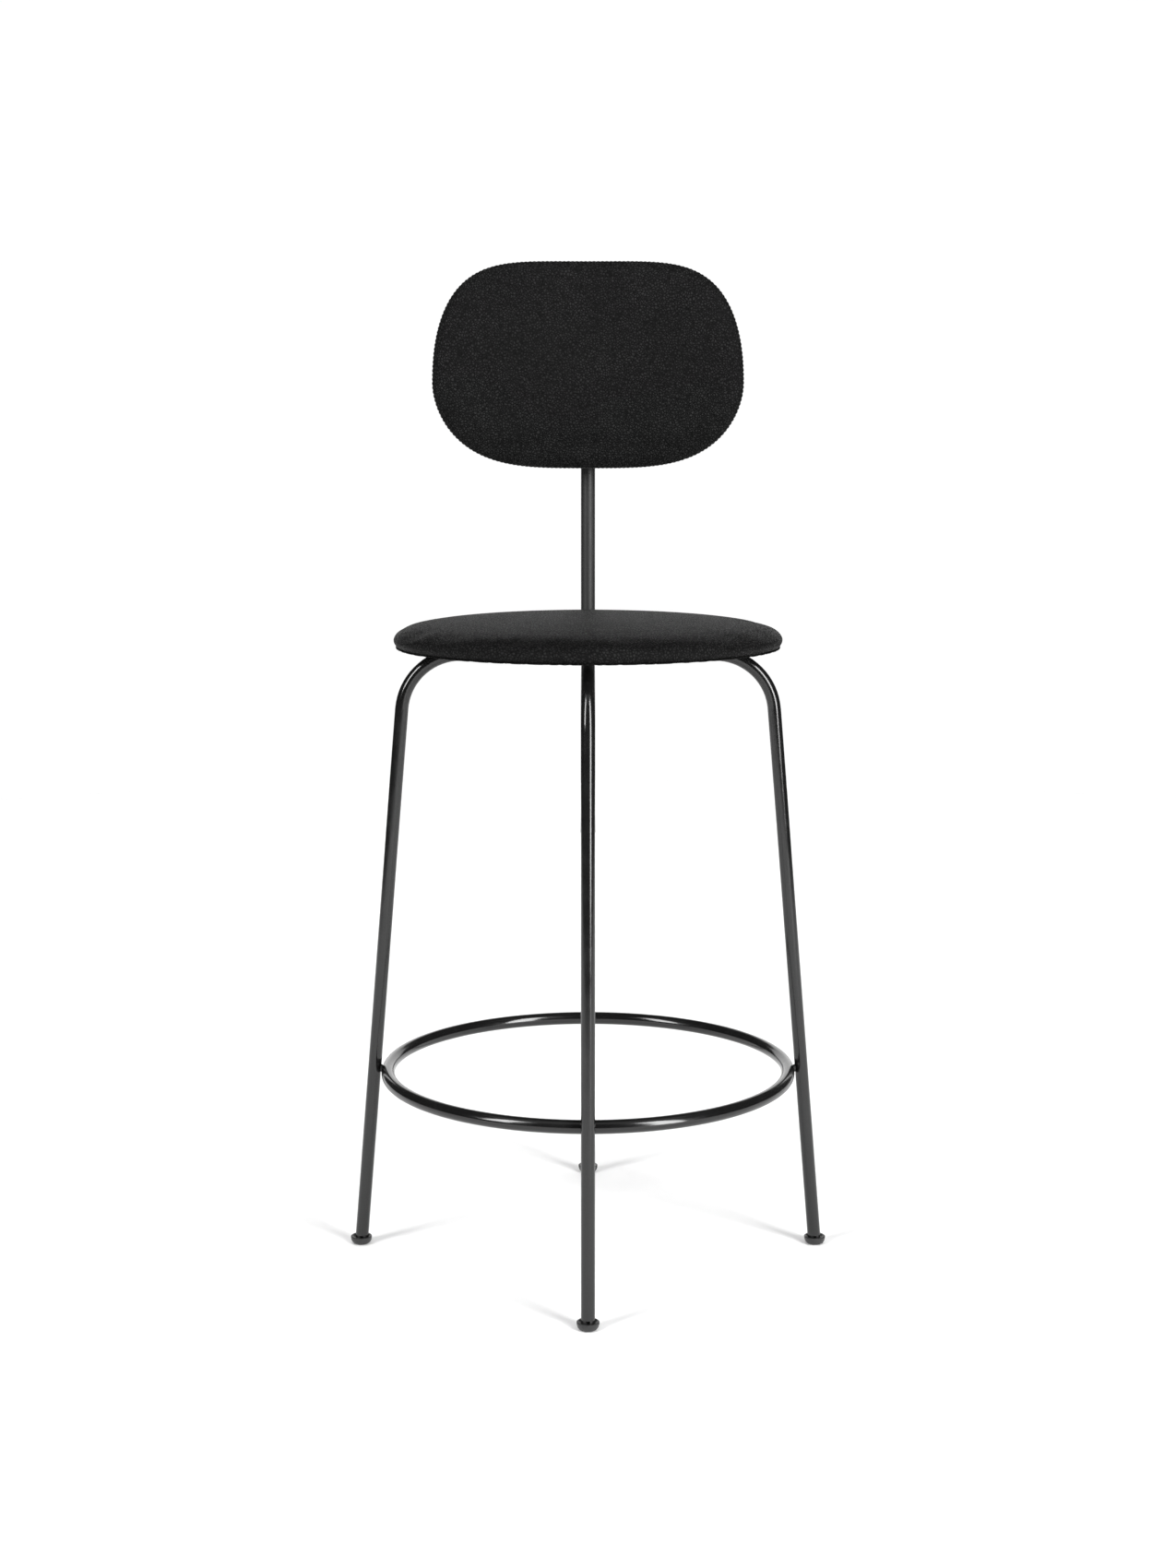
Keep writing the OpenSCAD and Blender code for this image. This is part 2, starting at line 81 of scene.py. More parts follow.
BACK_MID = Vector((0, 0.22342, 0.877))  # on the post's axis at the backrest's widest line
BACK_LEAN = math.radians(4)
BACK_W, BACK_UP, BACK_DOWN = 0.329, 0.1305, 0.0875
BACK_T = 0.032
BACK_CURVE = 0.7  # radius of the backrest's curve around the sitter
BACK_REAR = -POST_R - 0.003  # its rear face, from the post's axis
UPPER_POWERS = (2.23, 4.56)  # fullness of the sides, flatness of the edge
LOWER_POWERS = (1.8, 3.68)
CLOTH_FRAMES = 20  # length of the cloth simulation
WELD_STEP = 0.00028  # distance between points along a weld bead
WELD_RIPPLE = 0.0011
FLOOR_R = 3.2
BACK_FRAME = Matrix.Translation(BACK_MID) @ Matrix.Rotation(-BACK_LEAN, 4, "X")


# ---- Materials ----


def add(tree, kind, props=(), **inputs):
    """A shader node with its settings and the values or links of its named inputs."""
    node = tree.nodes.new("ShaderNode" + kind)
    for key, value in dict(props).items():
        setattr(node, key, value)
    for key, value in inputs.items():
        socket = node.inputs[key.replace("_", " ")]
        if isinstance(value, bpy.types.NodeSocket):
            tree.links.new(value, socket)
        else:
            socket.default_value = value
    return node


def mix(tree, kind, factor, a, b):
    """A colour blend, as kind says, of two colours or links."""
    node = add(tree, "Mix", {"data_type": "RGBA", "blend_type": kind})
    for index, value in ((0, factor), (6, a), (7, b)):
        if isinstance(value, bpy.types.NodeSocket):
            tree.links.new(value, node.inputs[index])
        else:
            node.inputs[index].default_value = value
    return node.outputs[2]


def maths(tree, operation, a, b=0.0, clamp=False):
    node = add(tree, "Math", {"operation": operation, "use_clamp": clamp})
    for index, value in ((0, a), (1, b)):
        if isinstance(value, bpy.types.NodeSocket):
            tree.links.new(value, node.inputs[index])
        else:
            node.inputs[index].default_value = value
    return node.outputs[0]


def spread(tree, value, low, high, to_low, to_high):
    """A link mapped smoothly from one range to another."""
    node = add(
        tree,
        "MapRange",
        {"interpolation_type": "SMOOTHSTEP"},
        Value=value,
        From_Min=low,
        From_Max=high,
        To_Min=to_low,
        To_Max=to_high,
    )
    return node.outputs[0]


def grey(level):
    return (level, level, level, 1)


def toned(tree, level, tone):
    """A grey of this level multiplied by a linked tone."""
    shade = add(tree, "CombineColor", Red=tone, Green=tone, Blue=tone).outputs[0]
    return mix(tree, "MULTIPLY", 1.0, grey(level), shade)


def start_material(name, **sockets):
    """A new material's tree, its shader and the object's coordinates in metres."""
    material = bpy.data.materials.new(name)
    material.use_nodes = True
    tree = material.node_tree
    shader = tree.nodes["Principled BSDF"]
    for key, value in sockets.items():
        shader.inputs[key.replace("_", " ")].default_value = value
    return material, tree, shader, add(tree, "TexCoord").outputs["Object"]


def finish_material(tree, shader, colour=None, roughness=None, height=None, depth=0.0001, strength=1.0):
    if colour is not None:
        tree.links.new(colour, shader.inputs["Base Color"])
    if roughness is not None:
        tree.links.new(roughness, shader.inputs["Roughness"])
    if height is not None:
        bump = add(tree, "Bump", Strength=strength, Distance=depth, Height=height)
        tree.links.new(bump.outputs[0], shader.inputs["Normal"])


def fractal(tree, where, scale, detail=3.0, rough=0.5):
    return add(tree, "TexNoise", Vector=where, Scale=scale, Detail=detail, Roughness=rough).outputs["Fac"]


def cells(tree, where, scale):
    """Distance to the nearest crease of a net of cells 1 / scale metres across."""
    return add(
        tree, "TexVoronoi", {"feature": "DISTANCE_TO_EDGE"}, Vector=where, Scale=scale
    ).outputs["Distance"]


def powder_coat(name, base=0.005, roughness=0.15):
    """Semi-gloss black powder coat: orange peel 1 to 2 mm across, a fine speckle and faint rubs."""
    material, tree, shader, where = start_material(name, IOR=1.54)
    peel = fractal(tree, where, 620, 2.0, 0.45)
    speckle = fractal(tree, where, 2600, 1.0)
    rubs = fractal(tree, where, 38, 6.0, 0.62)
    colour = mix(tree, "MIX", spread(tree, rubs, 0.45, 0.75, 0, 0.5), grey(base), grey(base * 1.5))
    rough = spread(tree, rubs, 0.3, 0.75, roughness - 0.03, roughness + 0.05)
    height = maths(tree, "ADD", peel, maths(tree, "MULTIPLY", speckle, 0.12))
    finish_material(tree, shader, colour, rough, height, 0.000012, 0.4)
    return material


def leather(name, base=0.0066, roughness=0.45):
    """Black pebbled leather: 2.7 mm pebbles with smaller ones between, creases, painted shade in the creases
    between the pebbles with their crowns painted lighter, and a soft mottle.
    """
    material, tree, shader, where = start_material(name, IOR=1.45, Specular_IOR_Level=0.11)
    wander = add(tree, "TexNoise", Vector=where, Scale=260, Detail=2).outputs["Color"]
    bent = add(tree, "VectorMath", {"operation": "SCALE"}, Scale=0.0011, Vector=wander).outputs[0]
    warped = add(tree, "VectorMath", {"operation": "ADD"})
    tree.links.new(where, warped.inputs[0])
    tree.links.new(bent, warped.inputs[1])
    grain = warped.outputs[0]
    pebbles = spread(tree, cells(tree, grain, 370), 0.0, 0.4, 0.0, 1.0)
    small = spread(tree, cells(tree, grain, 900), 0.0, 0.3, 0.0, 1.0)
    height = maths(tree, "ADD", pebbles, maths(tree, "MULTIPLY", small, 0.35))
    height = maths(tree, "ADD", height, maths(tree, "MULTIPLY", fractal(tree, where, 90, 4.0), 1.3))
    mottle = spread(tree, fractal(tree, where, 26, 4.0, 0.6), 0.35, 0.68, 0.85, 1.2)
    # Painted shade: the colour darkens in the creases between the pebbles and lightens on their crowns, times
    # a random mottle.
    tone = maths(tree, "MULTIPLY", spread(tree, pebbles, 0.0, 0.85, 0.12, 1.7), mottle)
    colour = toned(tree, base, tone)
    rough = spread(tree, pebbles, 0.0, 1.0, roughness + 0.16, roughness)
    finish_material(tree, shader, colour, rough, height, 0.0006, 0.9)
    return material


def moulded_plastic(name, base=0.012, roughness=0.36):
    """Moulded nylon: a fine spark-eroded texture with faint flow lines."""
    material, tree, shader, where = start_material(name, IOR=1.53)
    texture = fractal(tree, where, 3200, 2.0, 0.6)
    flow = fractal(tree, where, 120, 3.0)
    colour = mix(tree, "MIX", spread(tree, flow, 0.35, 0.7, 0, 1), grey(base), grey(base * 1.3))
    rough = spread(tree, flow, 0.3, 0.7, roughness, roughness + 0.08)
    finish_material(tree, shader, colour, rough, texture, 0.00003, 0.5)
    return material


def lining_cloth(name):
    """Black non-woven lining: pressed fibres with a grid of weld points 1.6 mm apart."""
    material, tree, shader, where = start_material(name, Sheen_Weight=0.2)
    fibres = fractal(tree, where, 1500, 5.0, 0.7)
    split = add(tree, "SeparateXYZ", Vector=where)
    turn = 2 * math.pi / 0.0016
    across = maths(tree, "COSINE", maths(tree, "MULTIPLY", split.outputs[0], turn))
    along = maths(tree, "COSINE", maths(tree, "MULTIPLY", split.outputs[1], turn))
    points = spread(tree, maths(tree, "MULTIPLY", across, along), 0.35, 0.8, 1.0, 0.0)
    height = maths(tree, "ADD", points, maths(tree, "MULTIPLY", fibres, 0.8))
    pressed = spread(tree, points, 0, 1, 0.6, 1.0)
    tone = maths(tree, "MULTIPLY", pressed, spread(tree, fibres, 0.3, 0.7, 0.7, 1.3))
    colour = toned(tree, 0.012, tone)
    finish_material(tree, shader, colour, spread(tree, fibres, 0.3, 0.7, 0.85, 0.95), height, 0.0001, 0.7)
    return material


def plated_steel(name, base, roughness):
    """Plated steel: fine drawing marks and slightly clouded plating."""
    material, tree, shader, where = start_material(name, Metallic=1.0)
    marks = fractal(tree, where, 4200, 3.0, 0.6)
    clouds = fractal(tree, where, 240, 3.0)
    colour = mix(tree, "MIX", spread(tree, clouds, 0.35, 0.7, 0, 1), grey(base), grey(base * 0.7))
    rough = spread(tree, clouds, 0.3, 0.7, roughness, roughness + 0.14)
    finish_material(tree, shader, colour, rough, marks, 0.00002, 0.4)
    return material


def plywood(name):
    """Birch plywood: 1.4 mm veneers at the edge, long grain on the faces."""
    material, tree, shader, where = start_material(name)
    split = add(tree, "SeparateXYZ", Vector=where)
    layer = maths(tree, "FRACT", maths(tree, "MULTIPLY", split.outputs[2], 360))
    long = add(tree, "Mapping", Vector=where, Scale=(12, 260, 40)).outputs[0]
    grain = fractal(tree, long, 1.0, 5.0, 0.6)
    dark = spread(tree, layer, 0.42, 0.58, 0, 0.5)
    tone = maths(tree, "ADD", dark, maths(tree, "MULTIPLY", grain, 0.6), clamp=True)
    colour = mix(tree, "MIX", tone, (0.55, 0.38, 0.21, 1), (0.30, 0.18, 0.09, 1))
    finish_material(tree, shader, colour, spread(tree, grain, 0.3, 0.7, 0.55, 0.75), grain, 0.00015, 0.5)
    return material


def foam_rubber(name):
    """Open-cell foam with pores under a millimetre."""
    material, tree, shader, where = start_material(name)
    pores = spread(tree, cells(tree, where, 1400), 0.0, 0.3, 0.0, 1.0)
    tint = fractal(tree, where, 30, 3.0)
    colour = mix(tree, "MIX", spread(tree, tint, 0.3, 0.7, 0, 1), (0.62, 0.55, 0.34, 1), (0.5, 0.43, 0.25, 1))
    finish_material(tree, shader, colour, spread(tree, pores, 0, 1, 0.95, 0.8), pores, 0.0003, 0.8)
    return material


def thread(name):
    """Bonded black thread: two plies twisted every 0.9 mm, painted darker in the grooves between them as
    shade.
    """
    material, tree, shader, where = start_material(name, Sheen_Weight=0.25)
    split = add(tree, "SeparateXYZ", Vector=where)
    total = maths(tree, "ADD", split.outputs[0], maths(tree, "ADD", split.outputs[1], split.outputs[2]))
    twist = maths(tree, "SINE", maths(tree, "MULTIPLY", total, 2 * math.pi / 0.0009))
    # Painted shade: darker in the grooves of the twist, lighter on the crowns.
    colour = mix(tree, "MIX", spread(tree, twist, -1, 1, 0, 1), grey(0.008), grey(0.02))
    finish_material(tree, shader, colour, spread(tree, twist, -1, 1, 0.7, 0.5), twist, 0.00008, 0.8)
    return material


FRAME_BLACK = powder_coat("black_powder_coat")
POST_BLACK = powder_coat("black_powder_coat_on_post", 0.004, 0.55)
WELD_BLACK = powder_coat("black_powder_coat_on_welds", 0.005, 0.3)
LEATHER = leather("black_pebbled_leather")
# A darker copy of the leather for the margin turned under the seat: painted shade.
SHADED_MARGIN_LEATHER = leather("black_leather_turned_under_painted_darker", 0.0035, 0.6)
PLASTIC = moulded_plastic("dark_grey_nylon")
CAP_PLASTIC = moulded_plastic("black_nylon", 0.012, 0.33)
LINING = lining_cloth("black_non_woven_lining")
SCREW_STEEL = plated_steel("black_zinc_steel", 0.09, 0.34)
BRIGHT_STEEL = plated_steel("bright_zinc_steel", 0.62, 0.26)
PLYWOOD = plywood("birch_plywood")
FOAM = foam_rubber("cream_foam")
THREAD = thread("black_thread")

NODE_MATERIALS = {
    "left_leg": FRAME_BLACK,
    "right_leg": FRAME_BLACK,
    "front_leg": FRAME_BLACK,
    "rear_leg": FRAME_BLACK,
    "centre_hub": FRAME_BLACK,
    "footrest_ring": FRAME_BLACK,
    "ring_studs": FRAME_BLACK,
    "seat_tabs": FRAME_BLACK,
    "back_post": POST_BLACK,
    "post_cap": CAP_PLASTIC,
    "left_glide": PLASTIC,
    "right_glide": PLASTIC,
    "front_glide": PLASTIC,
    "rear_glide": PLASTIC,
    "seat_board": PLYWOOD,
    "seat_foam": FOAM,
    "seat_cover": LEATHER,
    "seat_staples": BRIGHT_STEEL,
    "seat_lining": LINING,
    "seat_screws": SCREW_STEEL,
    "seat_tee_nuts": BRIGHT_STEEL,
    "back_board": PLYWOOD,
    "back_foam": FOAM,
    "back_rear_pad": FOAM,
    "back_front_cover": LEATHER,
    "back_rear_cover": LEATHER,
    "back_saddles": CAP_PLASTIC,
    "back_screws": SCREW_STEEL,
    "back_tee_nuts": BRIGHT_STEEL,
}
for node_name, material in NODE_MATERIALS.items():
    node_data = frame["nodes"][node_name].data
    node_data.materials.clear()
    node_data.materials.append(material)


# ---- Mesh helpers ----


def mesh_piece(name, points, faces, material):
    """A smooth-shaded piece that rides on the stool."""
    data = bpy.data.meshes.new(name)
    data.from_pydata([tuple(p) for p in points], [], faces)
    data.validate()
    data.shade_smooth()
    data.materials.append(material)
    piece = bpy.data.objects.new(name, data)
    bpy.context.scene.collection.objects.link(piece)
    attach(piece, "root")
    return piece


def tube_mesh(path, radii, sides, points, faces):
    """Adds a closed tube along a path, with a radius at each of its points, to a mesh."""
    first = len(points)
    side = None
    for i, p in enumerate(path):
        ahead = (path[min(i + 1, len(path) - 1)] - path[max(i - 1, 0)]).normalized()
        if side is None:
            side = ahead.orthogonal().normalized()
        side = (side - ahead * side.dot(ahead)).normalized()
        up = ahead.cross(side)
        for k in range(sides):
            a = 2 * math.pi * k / sides
            points.append(p + (side * math.cos(a) + up * math.sin(a)) * radii[i])
    for i in range(len(path) - 1):
        for k in range(sides):
            a, b = first + i * sides + k, first + i * sides + (k + 1) % sides
            faces.append((a, b, b + sides, a + sides))
    faces.append(tuple(first + k for k in reversed(range(sides))))
    faces.append(tuple(first + (len(path) - 1) * sides + k for k in range(sides)))


def resample(line, step):
    """The points of a polyline at even distances of about step, both ends kept."""
    lengths = [0.0]
    for a, b in zip(line, line[1:]):
        lengths.append(lengths[-1] + (b - a).length)
    count = max(1, round(lengths[-1] / step))
    even, at = [], 0
    for k in range(count + 1):
        s = lengths[-1] * k / count
        while at < len(line) - 2 and lengths[at + 1] < s:
            at += 1
        span = lengths[at + 1] - lengths[at]
        even.append(line[at].lerp(line[at + 1], (s - lengths[at]) / span if span else 0))
    return even


def disc_grid(n):
    """An even quad grid in a unit disc: (radius, turn) of each point, the faces, and the indices
    of the edge in order, the turn of edge point k being k / (4 n)."""
    places, faces = [], []
    for j in range(n + 1):
        for i in range(n + 1):
            a, b = 2 * i / n - 1, 2 * j / n - 1
            if a == 0 and b == 0:
                radius, angle = 0.0, 0.0
            elif abs(a) > abs(b):
                radius, angle = a, math.pi / 4 * b / a
            else:
                radius, angle = b, math.pi / 2 - math.pi / 4 * a / b
            if radius < 0:
                radius, angle = -radius, angle + math.pi
            places.append((radius, (angle / (2 * math.pi) + 0.125) % 1))
    row = n + 1
    for j in range(n):
        for i in range(n):
            a = j * row + i
            faces.append((a, a + 1, a + 1 + row, a + row))
    edge = [j * row + n for j in range(n)] + [n * row + i for i in range(n, 0, -1)]
    edge += [j * row for j in range(n, 0, -1)] + list(range(n))
    return places, faces, edge


def padded_form(n, inner, rings, under):
    """A closed form: inner(radius, turn) over its face, then each ring(turn) round its side, and
    under(radius, turn) to close it. Gives its points, faces and the first index of the underside."""
    places, grid, edge = disc_grid(n)
    points = [inner(*p) for p in places]
    faces = list(grid)
    last = list(edge)
    count = 4 * n
    for ring in rings:
        first = len(points)
        points += [ring(k / count) for k in range(count)]
        for k in range(count):
            m = (k + 1) % count
            faces.append((last[m], last[k], first + k, first + m))
        last = list(range(first, first + count))
    base = len(points)
    points += [under(*p) for p in places]
    faces += [tuple(base + v for v in reversed(f)) for f in grid]
    for k in range(count):
        m = (k + 1) % count
        faces.append((last[m], last[k], base + edge[k], base + edge[m]))
    return points, faces, base


def inflate(piece, held, cap):
    """Swells a padded piece with a cloth simulation. held gives how firmly each point is pinned,
    and no point moves further than cap."""
    data = piece.data
    rest = [v.co.copy() for v in data.vertices]
    pins = piece.vertex_groups.new(name="held")
    for index, weight in enumerate(held):
        if weight > 0:
            pins.add([index], weight, "REPLACE")
    cloth = piece.modifiers.new("cloth", "CLOTH")
    settings = cloth.settings
    settings.quality = 6
    settings.mass = 0.3
    settings.tension_stiffness = 22
    settings.compression_stiffness = 22
    settings.shear_stiffness = 9
    settings.bending_stiffness = 1.2
    settings.air_damping = 4
    settings.use_pressure = True
    settings.uniform_pressure_force = 4
    settings.effector_weights.gravity = 0
    settings.vertex_group_mass = "held"
    cloth.point_cache.frame_start = 1
    cloth.point_cache.frame_end = CLOTH_FRAMES
    for number in range(1, CLOTH_FRAMES + 1):
        bpy.context.scene.frame_set(number)
    swollen = piece.evaluated_get(bpy.context.evaluated_depsgraph_get()).data
    moved = [v.co.copy() for v in swollen.vertices]
    piece.modifiers.remove(cloth)
    piece.vertex_groups.clear()
    bpy.context.scene.frame_set(1)
    for vertex, was, now in zip(data.vertices, rest, moved):
        shift = now - was
        if shift.length > cap:
            shift = shift.normalized() * cap
        vertex.co = was + shift
    data.update()


def soften(piece, turns, factor=0.5, keep=None):
    """Evens out a mesh by moving each point towards the middle of its neighbours."""
    data = piece.data
    near = [[] for _ in data.vertices]
    for edge in data.edges:
        a, b = edge.vertices
        near[a].append(b)
        near[b].append(a)
    spots = [v.co.copy() for v in data.vertices]
    for _ in range(turns):
        moved = []
        for i, p in enumerate(spots):
            middle = sum((spots[k] for k in near[i]), Vector()) / len(near[i])
            moved.append(p if keep and keep[i] else p.lerp(middle, factor))
        spots = moved
    for vertex, spot in zip(data.vertices, spots):
        vertex.co = spot
    data.update()


def subdivide(piece, levels=1):
    smooth = piece.modifiers.new("subdivision", "SUBSURF")
    smooth.levels = levels
    smooth.render_levels = levels


# ---- Seat ----


def around(radius, turn, z):
    angle = 2 * math.pi * (turn - 0.125)
    return Vector((radius * math.cos(angle), radius * math.sin(angle), z))


def seat_profile(inset):
    """The seat's side from near the crown to the board's edge, as (radius, 0, height)."""
    r, h = SEAT_R - inset, SEAT_DOME - inset
    start = 0.72
    line = []
    for i in range(201):
        rise = start * (1 - i / 200)
        line.append(Vector((r * math.sqrt(1 - rise**3), 0, SEAT_WIDE + h * rise)))
    edge = SEAT_EDGE
    for i in range(1, 31):
        a = math.pi / 2 * i / 30
        line.append(
            Vector((r - edge + edge * math.cos(a), 0, SEAT_WIDE - edge * math.sin(a)))
        )
    return resample(line, 0.0032)


def make_seat():
    inset = 0.0016
    n = 60
    r, h = SEAT_R - inset, SEAT_DOME - inset
    line = seat_profile(inset)
    start = line[0]
    board_r = board_high.x + 0.0002
    board_top = board_high.z + 0.0002

    def top(radius, turn):
        out = radius * start.x
        return around(out, turn, SEAT_WIDE + h * (1 - (out / r) ** 2) ** (1 / 3))

    rings = [lambda turn, p=p: around(p.x, turn, p.z) for p in line[1:]]
    rings.append(lambda turn: around(board_r, turn, RIM_BOTTOM + 0.0003))
    rings.append(lambda turn: around(board_r, turn, (RIM_BOTTOM + board_top) / 2))
    points, faces, base = padded_form(
        n, top, rings, lambda radius, turn: around(board_r * radius, turn, board_top)
    )
    seat = mesh_piece("seat_cushion", points, faces, LEATHER)
    count = 4 * n
    firm = len(points) - base + 3 * count
    held = [1.0 if i >= len(points) - firm else 0.0 for i in range(len(points))]
    inflate(seat, held, inset)
    soften(seat, 6, 0.5, held)
    subdivide(seat)
    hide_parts("seat_cover", "seat_foam")


def make_seat_margin():
    """The leather turned under the board, with the small pleats that a round edge gathers."""
    inner = SEAT_R - SEAT_EDGE - SEAT_MARGIN
    outer = SEAT_R - SEAT_EDGE + 0.0006
    turns, steps = 1080, 9
    points, faces = [], []
    for k in range(turns):
        a = 2 * math.pi * k / turns
        spot = Vector((math.cos(a), math.sin(a), 0))
        pleat = noise.noise(spot * 19) + 0.6 * noise.noise(spot * 41)
        fold = max(0.0, math.sin(66 * a + 3 * pleat)) ** 2
        ragged = 0.0009 * noise.noise(spot * 33)
        for j in range(steps + 1):
            share = j / steps
            r = outer + (inner + ragged - outer) * share
            depth = 0.00075 * fold * math.sin(math.pi * min(1, 0.15 + share * 0.8))
            points.append(spot * r + Vector((0, 0, RIM_BOTTOM + depth)))
        points.append(spot * (inner + ragged) + Vector((0, 0, board_low.z - 0.00005)))
        points.append(spot * outer + Vector((0, 0, board_low.z - 0.00005)))
    row = steps + 3
    for k in range(turns):
        m = (k + 1) % turns
        for j in range(row):
            q = (j + 1) % row
            faces.append((k * row + j, m * row + j, m * row + q, k * row + q))
    # The margin takes the darker copy of the leather, painted shade under the seat.
    mesh_piece("seat_leather_margin", points, faces, SHADED_MARGIN_LEATHER)


# ---- Backrest ----


def back_point(x, z, deep):
    """A point deep metres in front of the backrest's rear face, measured square to its curve."""
    y = BACK_REAR - BACK_CURVE + math.sqrt((BACK_CURVE - deep) ** 2 - x * x)
    return BACK_FRAME @ Vector((x, y, z))


def quarter(w, h, powers):
    """One quarter of the outline from the side to mid-width."""
    side, edge = powers
    line = []
    for i in range(1201):
        a = math.pi / 2 * i / 1200
        line.append(Vector((w * math.cos(a) ** (2 / edge), 0, h * math.sin(a) ** (2 / side))))
    return line


def back_outline(n):
    """4 n points round the backrest and their outward directions, the first at the middle of the
    lower right quarter."""
    upper = resample(quarter(BACK_W / 2, BACK_UP, UPPER_POWERS), 0.001)
    lower = resample(quarter(BACK_W / 2, BACK_DOWN, LOWER_POWERS), 0.001)
    sides = []
    for line, x_sign, z_sign in ((upper, 1, 1), (upper, -1, 1), (lower, -1, -1), (lower, 1, -1)):
        turned = [Vector((x_sign * p.x, 0, z_sign * p.z)) for p in line]
        if x_sign * z_sign < 0:
            turned.reverse()
        total = sum((b - a).length for a, b in zip(turned, turned[1:]))
        sides += resample(turned, total / n)[:-1]
    half = n // 2
    spots = sides[-half:] + sides[:-half]
    outward = []
    for k in range(len(spots)):
        along = spots[(k + 2) % len(spots)] - spots[k - 2]
        outward.append(Vector((along.z, 0, -along.x)).normalized())
    return spots, outward


BACK_N = 56
BACK_SPOTS, BACK_OUTWARD = back_outline(BACK_N)


def rim_spot(turn, inset):
    k = round(turn * 4 * BACK_N) % (4 * BACK_N)
    return BACK_SPOTS[k] - BACK_OUTWARD[k] * inset


def make_back_pad(name, seam_deep, face_deep, round_in, crown, swell, nodes):
    """One half of the backrest: from the seam round its edge to its crowned face."""
    reach = face_deep - seam_deep
    side = 1 if reach > 0 else -1
    brow = reach - side * crown
    groove = 0.0011

    def bend(turn, a):
        """On the rounded edge, from the seam at 0 to the face at a quarter turn."""
        inset = round_in * (1 - math.cos(a)) + groove * math.exp(-a * 9)
        spot = rim_spot(turn, inset)
        return back_point(spot.x, spot.z, seam_deep + brow * math.sin(a) - side * swell * (a > 0.3))

    def face(radius, turn):
        rim = rim_spot(turn, round_in)
        spot = rim * radius
        lift = crown * (1 - radius**2.4)
        return back_point(spot.x, spot.z, seam_deep + brow + side * (lift - swell))

    angles = [math.pi / 2 * (1 - i / 9) for i in range(1, 10)]
    rings = [lambda turn, a=a: bend(turn, a) for a in angles]
    points, faces, base = padded_form(
        BACK_N,
        face,
        rings,
        lambda radius, turn: back_point(
            rim_spot(turn, 0.006).x * radius, rim_spot(turn, 0.006).z * radius, seam_deep
        ),
    )
    if side < 0:
        faces = [tuple(reversed(f)) for f in faces]
    pad = mesh_piece(name, points, faces, LEATHER)
    held = [1.0 if i >= base - 8 * BACK_N else 0.0 for i in range(len(points))]
    inflate(pad, held, swell)
    soften(pad, 2, 0.5, held)
    subdivide(pad)
    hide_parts(*nodes)


def make_back_seam():
    """Stitches in the groove where the two covers of the backrest meet."""
    spots = [rim_spot(k / (4 * BACK_N), 0.0007) for k in range(4 * BACK_N)]
    line = resample(spots + spots[:1], 0.0009)
    points, faces = [], []
    stitch, pitch = 4, 5
    for first in range(0, len(line) - stitch - 1, pitch):
        path = []
        radii = []
        for i in range(stitch + 1):
            share = i / stitch
            p = line[first + i]
            lift = 1 + 0.0022 * math.sin(math.pi * share)
            path.append(back_point(p.x * lift, p.z * lift, BACK_T / 2 + 0.0002 * math.sin(first * 1.7)))
            radii.append(0.00012 + 0.00026 * math.sin(math.pi * (0.12 + 0.76 * share)))
        tube_mesh(path, radii, 8, points, faces)
    mesh_piece("back_seam_stitches", points, faces, THREAD)


# ---- Welds ----


def weld_mesh(path, radius, points, faces, closed=False):
    """A bead with ripples 1.1 mm apart that thins at its ends unless it closes on itself."""
    line = resample(path, WELD_STEP)
    radii = []
    for i in range(len(line)):
        ripple = 1 + 0.09 * math.sin(2 * math.pi * i * WELD_STEP / WELD_RIPPLE)
        uneven = 1 + 0.12 * noise.noise(line[i] * 300)
        from_end = min(i, len(line) - 1 - i) * WELD_STEP
        end = 1.0 if closed else min(1.0, (from_end / 0.0025) ** 0.5 + 0.15)
        radii.append(radius * ripple * uneven * end)
    tube_mesh(line, radii, 10, points, faces)


def circle(middle, along, radius, count=72):
    """A closed circle square to a direction."""
    along = along.normalized()
    side = along.orthogonal().normalized()
    up = along.cross(side)
    angles = [2 * math.pi * k / count for k in range(count + 1)]
    return [middle + (side * math.cos(a) + up * math.sin(a)) * radius for a in angles]


